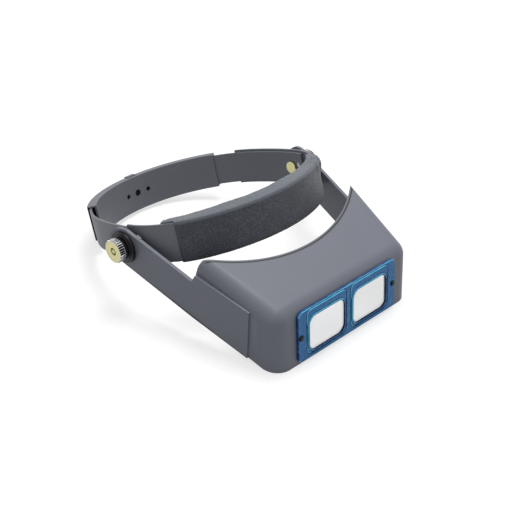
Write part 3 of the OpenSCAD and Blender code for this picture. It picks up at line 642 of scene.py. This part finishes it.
# ---- Strap rivet
# A small aluminium rivet that joins strap and band in front of the left pivot. Its two heads are
# set to low domes.
RIVET_Y, RIVET_Z = -9.5, 3
RIVET_A = degrees(asin(RIVET_Y / TURN[2]))
# The two heads' tops, from the turn's middle; the shank's radius; a head's radius and height.
RIVET_ENDS = (58.2, 63.86)
RIVET_R, RIVET_HEAD = 1.2, (2.0, 0.8)


def handled_metal(name, light, deep, smoothest, dullest, patch):
    """Bare or plated metal, whose tone and gloss drift in patches, as handling leaves them."""
    made, tree, shader, place = new_finish(name, {"Metallic": 1.0})
    stain = add(tree, "ShaderNodeTexNoise", {"Vector": place,
                "Scale": 1 / (patch * MM), "Detail": 3.0})
    tone = add(tree, "ShaderNodeMix", {"Factor": stain.outputs["Fac"], "A": linear(deep),
               "B": linear(light)}, data_type="RGBA")
    gloss = add(tree, "ShaderNodeMapRange", {"Value": stain.outputs["Fac"], "To Min": smoothest,
                "To Max": dullest})
    feed(tree, shader, {"Base Color": tone.outputs["Result"], "Roughness": gloss.outputs["Result"]})
    return made


# Drawn aluminium wire: grey and half dull, with a soft highlight on each head.
rivet_metal = handled_metal("drawn_aluminium", "#b9babd", "#8b8c90", 0.25, 0.45, 0.8)

low, high = RIVET_ENDS
head_r, head_t = RIVET_HEAD
dome = [(head_r, 0.25), (head_r * 0.85, 0.5), (head_r * 0.55, 0.7), (0, head_t)]
pin = turned([(0, low)] + [(r, low + head_t - z) for r, z in dome[::-1][1:]]
             + [(head_r, low + head_t), (RIVET_R, low + head_t), (RIVET_R, high - head_t),
                (head_r, high - head_t)] + [(r, high - head_t + z) for r, z in dome], 40)
pin.transform(band_mm @ Matrix.Translation((TURN[0], 0, RIVET_Z))
              @ Matrix.Rotation(radians(RIVET_A), 4, "Z") @ Matrix.Rotation(radians(90), 4, "Y"))
rivet = piece("rivet_strap", pin, rivet_metal, "headband", "strap_rivet")
smooth(rivet, 45)

# ---- Pad
# A strip of foam behind the brow in a cover of charcoal leatherette, which wraps foam and band
# and is drawn in at both ends. Its outer face lies tight on the band and the rest is stuffed.
TURN_C, TURN_R = TURN[0], TURN[2]
BROW_C, BROW_R = BROW[1:]
BROW_END = radians(BROW_A)
# Where the pad ends, and where its outer flap does, in radians round the turns. The numbers are
# how far in front of the pivots they lie.
PAD_END_A = -asin(29 / TURN_R)
FLAP_END_A = -asin(39 / TURN_R)
# How each end is drawn in, right and left: over what length, and how steeply. END_FILL is the
# share of the stuffing that is left at the end.
PAD_TAPERS = ((14.0, 2.0), (44.0, 1.2))
END_FILL = 0.3
# Offsets from the band's outer face: its inner face, and where the stuffing starts.
BAND_IN, FOAM_IN = -2.1, -3.4
# The cover's half height at the band, and the run over which its raised top rises above that.
COVER_HIGH, RAISE_RUN = 16, 35
# The simulation: mesh size, scale, length, the most a point may move, and what is held: all
# beyond an offset, and most of what is higher than this.
VOXEL, SIM_SCALE, SIM_FRAMES, SWELL = 1.1, 0.01, 20, 0.6
HELD_OUT, HELD_HIGH, HELD_MOST = -1.8, 14.5, 0.9
# Creases and lumps in the skin: how fine (a crease along and across), and how deep.
CREASE_FINE, LUMP_FINE = (0.55, 0.16), 0.09
FOLD_DEEP, CREASE_DEEP, LUMP_DEEP = 0.22, 0.15, 0.4
# The slack skin's bulge beside the left flap: its height and ripple, and its middle and spread
# round the turn and upwards.
BULGE, BULGE_RIPPLE, BULGE_A, BULGE_Z = 2.0, 0.5, (-50, 9), (12, 7)
# The height where the top's painted light begins, and the run over which it pales.
TOP_LIGHT_START = (12.8, 0.8)
# Sizes of the leatherette's worn patches, pebbles and fine grain.
WORN_PATCH, PEBBLE, FINE_GRAIN = 14, 0.9, 0.6
FOAM_CELL = 0.7


def ramp(value, start, run):
    """Rises from 0 at the start to 1 a run further on."""
    return min(1.0, max(0.0, (value - start) / run))


def swept_along_brow(profile):
    """Sweeps a closed profile of (offset outwards, height) along the front of the band."""
    bm = bmesh.new()
    verts = [bm.verts.new((0, BROW_C - BROW_R - q, z)) for q, z in profile]
    step_a = radians(0.6)
    swept(bm, verts, ((0, BROW_C, pi / 2 + BROW_END, 26), (TURN_C, 0, FLAP_END_A - BROW_END, 12),
                      (TURN_C, 0, step_a, 1),
                      (TURN_C, 0, PAD_END_A - FLAP_END_A - step_a, 9)), start_capped=False)
    bmesh.ops.mirror(bm, geom=bm.verts[:] + bm.edges[:] + bm.faces[:], axis="X", merge_dist=1e-4)
    bmesh.ops.remove_doubles(bm, verts=bm.verts, dist=1e-4)
    bmesh.ops.recalc_face_normals(bm, faces=bm.faces)
    return bm


def on_band(co):
    """Where a point is: its distance from the pad's end, its offset from the band's outer face,
    and the way outwards there."""
    side = 1 if co.x >= 0 else -1
    x = abs(co.x)
    a = atan2(co.y, x - TURN_C)
    if a > BROW_END and x > TURN_C:
        run, q = TURN_R * (PAD_END_A - a), hypot(x - TURN_C, co.y) - TURN_R
    else:
        a = atan2(co.y - BROW_C, x)
        run = TURN_R * (PAD_END_A - BROW_END) + BROW_R * (BROW_END - a)
        q = hypot(x, co.y - BROW_C) - BROW_R
    return run, q, Vector((side * cos(a), sin(a), 0))


def drawn_in(bm, outer):
    """Tapers a swept shape towards the pad's ends, and keeps it inside the band beyond the flap."""
    flap_run = TURN_R * (PAD_END_A - FLAP_END_A)
    for v in bm.verts:
        run, q, out = on_band(v.co)
        taper, fall = PAD_TAPERS[v.co.x > 0]
        fill = 1 - (1 - END_FILL) * max(0.0, 1 - run / taper) ** fall
        new_q = FOAM_IN + (q - FOAM_IN) * fill if q < FOAM_IN else q
        if outer and run < flap_run - 0.3:
            new_q = min(new_q, BAND_IN)
        v.co += out * (new_q - q)
        if q < BAND_IN:
            v.co.z *= 0.8 + 0.2 * fill
        high = abs(v.co.z)
        if outer and high > COVER_HIGH:
            v.co.z *= (COVER_HIGH + (high - COVER_HIGH) * ramp(run, taper, RAISE_RUN)) / high


# Cross-sections, as (offset from the band's outer face, height).
COVER_PROFILE = [(-11.2, -14.5), (-10.6, -16.6), (-9.2, -17.6), (-5, -17.1), (0.5, -16),
                 (1.1, -15.6), (1.3, -14.8), (1.3, 14.8), (1.1, 15.6), (0.5, 16), (-5, 17.3),
                 (-9.2, 18.2), (-10.6, 17.2), (-11.2, 14.8), (-11.6, 9), (-12, 0), (-11.6, -9)]
CAVITY_PROFILE = [(-9.4, -15), (0.3, -15), (0.3, 15), (-9.4, 15)]
FOAM_PROFILE = [(-9.1, -12.5), (-8.1, -13.5), (-3.1, -13.5), (-2.1, -12.5), (-2.1, 12.5),
                (-3.1, 13.5), (-8.1, 13.5), (-9.1, 12.5)]

# Leatherette: a vinyl skin embossed with a fine pebble grain, dull in its dips, and a little paler
# and glossier on its high spots. The top is painted paler still by a vertex attribute, as painted
# light on the face that the lamp falls on.
leatherette, tree, shader, place = new_finish(
    "embossed_leatherette", {"IOR": 1.5, "Sheen Weight": 0.15, "Sheen Roughness": 0.5})
drift = add(tree, "ShaderNodeTexNoise", {"Vector": place,
            "Scale": 1 / (WORN_PATCH * MM), "Detail": 2.0})
pebble = add(tree, "ShaderNodeTexVoronoi", {"Vector": place,
             "Scale": 1 / (PEBBLE * MM)}, feature="SMOOTH_F1")
fine = add(tree, "ShaderNodeTexNoise", {"Vector": place,
           "Scale": 1 / (FINE_GRAIN * MM), "Detail": 3.0, "Roughness": 0.65})
height = add(tree, "ShaderNodeMix", {"Factor": 0.6, "A": pebble.outputs["Distance"],
             "B": fine.outputs["Fac"]}, data_type="FLOAT")
high_spots = add(tree, "ShaderNodeMapRange", {"Value": height.outputs["Result"], "From Min": 0.38,
                 "From Max": 0.62})
worn = add(tree, "ShaderNodeMapRange", {"Value": drift.outputs["Fac"], "From Min": 0.35,
           "From Max": 0.65, "To Min": 0.65, "To Max": 1.0})
spots = add(tree, "ShaderNodeMath", {0: high_spots.outputs["Result"], 1: worn.outputs["Result"]},
            operation="MULTIPLY")
grain = add(tree, "ShaderNodeMix", {"Factor": spots.outputs["Value"], "A": linear("#252932"),
            "B": linear("#4e535d")}, data_type="RGBA")
# The painted light on the top blends the skin towards a pale grey.
edges = add(tree, "ShaderNodeAttribute", {}, attribute_name="painted_top_light")
top_light_share = add(tree, "ShaderNodeMath", {0: edges.outputs["Fac"], 1: 0.55}, operation="MULTIPLY")
skin = add(tree, "ShaderNodeMix", {"Factor": top_light_share.outputs["Value"],
           "A": grain.outputs["Result"], "B": linear("#787d87")}, data_type="RGBA")
rub = add(tree, "ShaderNodeMapRange", {"Value": spots.outputs["Value"], "To Min": 0.68,
          "To Max": 0.4})
emboss = add(tree, "ShaderNodeBump", {"Height": height.outputs["Result"], "Strength": 0.9,
             "Distance": 0.35 * MM})
feed(tree, shader, {"Base Color": skin.outputs["Result"], "Roughness": rub.outputs["Result"],
                    "Normal": emboss.outputs["Normal"]})

cover_bm = swept_along_brow(COVER_PROFILE)
drawn_in(cover_bm, True)
cover = piece("pad_cover_leatherette", cover_bm, leatherette, "headband", "pad_cover")
remesh = cover.modifiers.new("even", "REMESH")
remesh.mode = "VOXEL"
remesh.voxel_size = VOXEL
cut(cover, [])
cover.data.transform(Matrix.Scale(SIM_SCALE, 4))
before = [v.co.copy() for v in cover.data.vertices]
held = cover.vertex_groups.new(name="held")
for v in cover.data.vertices:
    run, q, out = on_band(v.co / SIM_SCALE)
    level = HELD_MOST if abs(v.co.z) / SIM_SCALE > HELD_HIGH else 0.0
    held.add([v.index], 1.0 if q > HELD_OUT else level, "REPLACE")
cloth = cover.modifiers.new("cloth", "CLOTH")
cloth.settings.vertex_group_mass = "held"
cloth.settings.effector_weights.gravity = 0
cloth.settings.use_pressure = True
cloth.settings.uniform_pressure_force = 4
cloth.settings.tension_stiffness = 12
cloth.settings.compression_stiffness = 6
cloth.settings.bending_stiffness = 0.3
cloth.settings.quality = 6
cloth.collision_settings.use_collision = False
cloth.point_cache.frame_end = SIM_FRAMES
for frame_number in range(1, SIM_FRAMES + 1):
    bpy.context.scene.frame_set(frame_number)
cut(cover, [])
bpy.context.scene.frame_set(1)
for v, old in zip(cover.data.vertices, before):
    moved = v.co - old
    if moved.length > SWELL * SIM_SCALE:
        v.co = old + moved * (SWELL * SIM_SCALE / moved.length)
cover.vertex_groups.clear()
cover.data.transform(Matrix.Scale(1 / SIM_SCALE, 4))
finer = cover.modifiers.new("finer", "SUBSURF")
finer.levels = finer.render_levels = 1
cut(cover, [])
skin_bm = bmesh.new()
skin_bm.from_mesh(cover.data)
skin_bm.normal_update()
painted_top_light = skin_bm.verts.layers.float.new("painted_top_light")
for v in skin_bm.verts:
    run, q, out = on_band(v.co)
    along, across = CREASE_FINE
    crease = noise.noise(Vector((run * along, q * across, v.co.z * across)) + Vector((7, 3, 1)))
    lump = noise.noise(v.co * LUMP_FINE + Vector((2, 5, 9)))
    # Fine creases run across the top and bottom, and soft lumps lie on the stuffed inner side.
    folds = ramp(abs(v.co.z), 12, 3) * ramp(-q, -0.8, 2) * ramp(q, -9.4, 2)
    push = FOLD_DEEP * folds * crease
    push += ramp(-q, 4, 3) * (LUMP_DEEP * lump + CREASE_DEEP * crease)
    if v.co.x > TURN_C and q > -3:
        turn_a = atan2(v.co.y, v.co.x - TURN_C)
        near = (exp(-((degrees(turn_a) - BULGE_A[0]) / BULGE_A[1]) ** 2)
                * exp(-((v.co.z - BULGE_Z[0]) / BULGE_Z[1]) ** 2))
        push += near * (BULGE + BULGE_RIPPLE * sin(turn_a * 42))
    v.co += v.normal * push
    # The top takes painted light: paler from this height upwards.
    v[painted_top_light] = ramp(v.co.z, *TOP_LIGHT_START)
skin_bm.to_mesh(cover.data)
skin_bm.free()
cavity = swept_along_brow(CAVITY_PROFILE)
drawn_in(cavity, False)
cut(cover, [cavity])
cover.data.transform(band_mm)
smooth(cover, 60)

# Foam: the filling that shows only where the cover gapes, full of small open cells.
foam_dark, tree, shader, place = new_finish("cut_polyether_foam", {"Roughness": 0.95})
cells = add(tree, "ShaderNodeTexVoronoi", {"Vector": place, "Scale": 1 / (FOAM_CELL * MM)})
pores = add(tree, "ShaderNodeMix", {"Factor": cells.outputs["Distance"], "A": linear("#2c2c2e"),
            "B": linear("#59595c")}, data_type="RGBA")
dents = add(tree, "ShaderNodeBump", {"Height": cells.outputs["Distance"], "Strength": 0.8,
            "Distance": 0.3 * MM})
feed(tree, shader, {"Base Color": pores.outputs["Result"], "Normal": dents.outputs["Normal"]})
foam_bm = swept_along_brow(FOAM_PROFILE)
drawn_in(foam_bm, False)
foam_bm.transform(band_mm)
foam = piece("pad_filling_foam", foam_bm, foam_dark, "headband", "pad_foam")
smooth(foam, 30)

# ---- Pivots
# On each side a brass bolt comes out through band and arm, between black nylon washers, and
# carries a knurled thumb nut. The bolts' flat heads lie inside the band.
# Patch sizes: the metals' handling marks, and the painted shade in the knurls' grooves.
METAL_PATCH, KNURL_SHADE_PATCH = 2.2, 1.5
# The bolt's shank and tip, the free play round the shank, the arm's seat, and how far the wide
# washer's skirt reaches down over it.
BOLT_R, BOLT_TIP, BOLT_FREE = 2.4, 1.55, 0.05
SEAT_R, SKIRT = 12.06, 2.4
# The nuts: number and depth of the knurls, one knurl's shape, and the chamfer at both edges.
KNURLS, KNURL_DEPTH, KNURL_SHAPE, NUT_CHAMFER = 30, 0.13, (0, 0, 0.6, 1, 1, 0.6), 0.45
# The bare brass: how far down from the front, and out to which share of the radius. Then the
# shares between which an upright face is a knurl's groove.
BARE_DEEP, BARE_WIDE, KNURL_FROM, KNURL_TO = 1.8, 0.93, 0.8, 0.96

# Pale brass, turned and left bare: it looks straw yellow, and its turned faces are satin.
brass = handled_metal("turned_pale_brass", "#d6d1a2", "#b3ae80", 0.24, 0.4, METAL_PATCH)
# Nickel plate over brass: a brighter and cooler grey, and the glossiest finish on the object.
nickel = handled_metal("nickel_plated_brass", "#cfcfd2", "#a2a2a6", 0.14, 0.28, METAL_PATCH)


def on_axis(node, hand):
    """How far a node's inner and outer ends lie along the pivot's axis, and its radius."""
    along = sorted(abs(corner.x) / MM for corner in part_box(node + hand))
    return along[0], along[1], (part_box(node + hand)[1].z - pivot.z) / MM


# Nickel in the knurls' grooves: dull and darkened, a painted shade where the grooves lie in shade.
knurl_shade, tree, shader, place = new_finish("nickel_painted_knurl_shade", {"Metallic": 1.0, "Roughness": 0.5})
shade_patch = add(tree, "ShaderNodeTexNoise", {"Vector": place,
           "Scale": 1 / (KNURL_SHADE_PATCH * MM), "Detail": 2.0})
dim = add(tree, "ShaderNodeMix", {"Factor": shade_patch.outputs["Fac"], "A": linear("#17171a"),
          "B": linear("#3c3c40")}, data_type="RGBA")
feed(tree, shader, {"Base Color": dim.outputs["Result"]})
NICKEL, BRASS, KNURL_SHADE = range(3)


def turn_of_outline(nut, edges, rise, radius):
    """Extrudes a ring of the nut's edges up, and to a plain circle if a radius is given."""
    grown = bmesh.ops.extrude_edge_only(nut, edges=edges)["geom"]
    verts = [g for g in grown if isinstance(g, bmesh.types.BMVert)]
    bmesh.ops.translate(nut, vec=(0, 0, rise), verts=verts)
    if radius:
        for v in verts:
            flat = Vector((v.co.x, v.co.y, 0)).normalized() * radius
            v.co = Vector((flat.x, flat.y, v.co.z))
    return [g for g in grown if isinstance(g, bmesh.types.BMEdge)]


for side, hand in ((-1, "right"), (1, "left")):
    stand = (Matrix.Translation(pivot) @ Matrix.Rotation(radians(90 * side), 4, "Y")
             @ Matrix.Scale(MM, 4))
    bore = BOLT_R + BOLT_FREE
    a, b, r = on_axis("inner_washer_", hand)
    ring = turned([(bore, a), (r - 0.3, a), (r, a + 0.3), (r, b - 0.3), (r - 0.3, b), (bore, b)])
    ring.transform(stand)
    made = piece("ring_inner_" + hand, ring, nylon_black, "headband", "inner_washer_" + hand)
    smooth(made, 25)

    a, b, r = on_axis("wide_washer_", hand)
    ring = turned([(bore, a), (SEAT_R, a), (SEAT_R, a - SKIRT), (SEAT_R + 0.3, a - SKIRT),
                   (SEAT_R + 0.3, a + 0.1), (SEAT_R, a + 0.35), (r + 0.3, a + 0.35), (r, a + 0.5),
                   (r, b - 0.2), (r - 0.2, b), (bore, b)], 96)
    ring.transform(stand)
    made = piece("ring_wide_" + hand, ring, nylon_black, "visor", "wide_washer_" + hand)
    smooth(made, 25)

    a, b, r = on_axis("collar_washer_", hand)
    ring = turned([(bore, a), (r - 0.15, a), (r, a + 0.15), (r, a + 0.9), (r - 0.15, a + 1.05),
                   (r - 0.7, a + 1.05), (r - 0.7, b - 0.3), (r - 1.0, b), (bore, b)], 96)
    ring.transform(stand)
    made = piece("ring_collar_" + hand, ring, nylon_black, "visor", "collar_washer_" + hand)
    smooth(made, 25)

    a, b, r = on_axis("pivot_bolt_", hand)
    bolt = turned([(0, a + 0.08), (r - 0.6, a + 0.05), (r - 0.25, a), (r, a + 0.3), (r, a + 1.5),
                   (BOLT_R, a + 1.5), (BOLT_R, b - 1.6), (BOLT_TIP, b - 1.5), (BOLT_TIP, b - 0.25),
                   (BOLT_TIP - 0.25, b), (0, b)], 64)
    bolt.transform(stand)
    made = piece("bolt_" + hand, bolt, brass, "headband", "pivot_bolt_" + hand)
    smooth(made, 30)

    a, b, r = on_axis("thumb_nut_", hand)
    nut = bmesh.new()
    bmesh.ops.create_circle(nut, cap_ends=False, segments=KNURLS * len(KNURL_SHAPE), radius=r)
    nut.verts.ensure_lookup_table()
    for i, v in enumerate(nut.verts):
        v.co *= 1 - KNURL_DEPTH * KNURL_SHAPE[i % len(KNURL_SHAPE)]
    start = last = nut.edges[:]
    bmesh.ops.translate(nut, vec=(0, 0, a + NUT_CHAMFER), verts=nut.verts)
    # Rise and share of the radius of each turn of the outline, from the rim's back edge over the
    # dished face into the bore, and then from the same edge across the back into the bore.
    for rise, share in ((b - a - 2 * NUT_CHAMFER, 0), (0.3, 0.96), (0.15, 0.925), (0, 0.84),
                        (-0.3, 0.8), (0, 0.62), (0.12, 0.6), (0, 0.36), (-0.2, 0.33), (-1.2, 0.29)):
        last = turn_of_outline(nut, last, rise, r * share)
    for rise, share in ((-0.3, 0.95), (-0.15, 0.9), (0, 0.29), (b - a - 1.4, 0.29)):
        start = turn_of_outline(nut, start, rise, r * share)
    bmesh.ops.remove_doubles(nut, verts=nut.verts, dist=1e-4)
    bmesh.ops.recalc_face_normals(nut, faces=nut.faces)
    # The dished face is bare brass, and the knurls' grooves get a painted shade.
    for flat in nut.faces:
        middle = flat.calc_center_median()
        out = hypot(middle.x, middle.y) / r
        bare = middle.z > b - BARE_DEEP and out < BARE_WIDE
        flat.material_index = BRASS if bare else NICKEL
        if abs(flat.normal.z) < 0.1 and KNURL_FROM < out < KNURL_TO:
            flat.material_index = KNURL_SHADE
    nut.transform(stand)
    made = piece("nut_" + hand, nut, nickel, "nut_" + hand, "thumb_nut_" + hand)
    made.data.materials.append(brass)
    made.data.materials.append(knurl_shade)
    smooth(made, 28)

# ---- Studio
# A white floor and a white surround under one wide soft lamp. The floor shows white to the
# camera, in gloss and through glass, still takes the shadows, and fades to plain white far out.
# Its sizes are in metres.
AMBIENT = 0.5
FLOOR_GLOW, FLOOR_FADE, FLOOR_SIZE = 0.65, (0.35, 1.3), 6
FLOOR_SEEN, FLOOR_UNSEEN = "#b3b3b3", "#adadad"
LAMP_PLACE, LAMP_AIM, LAMP_SIZE, LAMP_POWER = (0.22, 0.1, 1.1), (0, 0, 0.02), 0.5, 7.4


def seen_rays(tree):
    """1 for rays that show the background: from the camera, in gloss, or through glass."""
    rays = add(tree, "ShaderNodeLightPath", {})
    seen = add(tree, "ShaderNodeMath", {0: rays.outputs["Is Camera Ray"],
               1: rays.outputs["Is Transmission Ray"]}, operation="MAXIMUM")
    return add(tree, "ShaderNodeMath", {0: seen.outputs["Value"], 1: rays.outputs["Is Glossy Ray"]},
               operation="MAXIMUM").outputs["Value"]


world = bpy.data.worlds.new("white_room")
bpy.context.scene.world = world
world.use_nodes = True
tree = world.node_tree
level = add(tree, "ShaderNodeMapRange", {"Value": seen_rays(tree), "To Min": AMBIENT,
            "To Max": 1.0})
tree.links.new(level.outputs["Result"], tree.nodes["Background"].inputs["Strength"])
tree.nodes["Background"].inputs["Color"].default_value = linear("#ffffff")

# Paper: matt and even, so that only the shadows show on it.
paper = bpy.data.materials.new("white_paper_floor")
paper.use_nodes = True
tree = paper.node_tree
tree.nodes.remove(tree.nodes["Principled BSDF"])
place = add(tree, "ShaderNodeTexCoord", {}).outputs["Object"]
away = add(tree, "ShaderNodeVectorMath", {0: place}, operation="LENGTH")
fade = add(tree, "ShaderNodeMapRange", {"Value": away.outputs["Value"], "From Min": FLOOR_FADE[0],
           "From Max": FLOOR_FADE[1], "To Min": FLOOR_GLOW, "To Max": 1.0})
lit = add(tree, "ShaderNodeBsdfDiffuse", {"Color": linear(FLOOR_SEEN)})
glow = add(tree, "ShaderNodeEmission", {"Color": linear("#ffffff"),
           "Strength": fade.outputs["Result"]})
both = add(tree, "ShaderNodeAddShader", {0: lit.outputs["BSDF"], 1: glow.outputs["Emission"]})
plain = add(tree, "ShaderNodeBsdfDiffuse", {"Color": linear(FLOOR_UNSEEN)})
mix = add(tree, "ShaderNodeMixShader", {"Fac": seen_rays(tree), 1: plain.outputs["BSDF"],
          2: both.outputs["Shader"]})
tree.links.new(mix.outputs["Shader"], tree.nodes["Material Output"].inputs["Surface"])

ground = bmesh.new()
bmesh.ops.create_grid(ground, x_segments=1, y_segments=1, size=FLOOR_SIZE)
floor = as_object("floor", ground)
floor.data.materials.append(paper)

lamp = bpy.data.objects.new("overhead", bpy.data.lights.new("overhead", "AREA"))
lamp.data.size = LAMP_SIZE
lamp.data.energy = LAMP_POWER
lamp.location = LAMP_PLACE
lamp.rotation_euler = (Vector(LAMP_PLACE) - Vector(LAMP_AIM)).to_track_quat("Z", "Y").to_euler()
bpy.context.scene.collection.objects.link(lamp)

bpy.context.scene.view_settings.view_transform = "Standard"
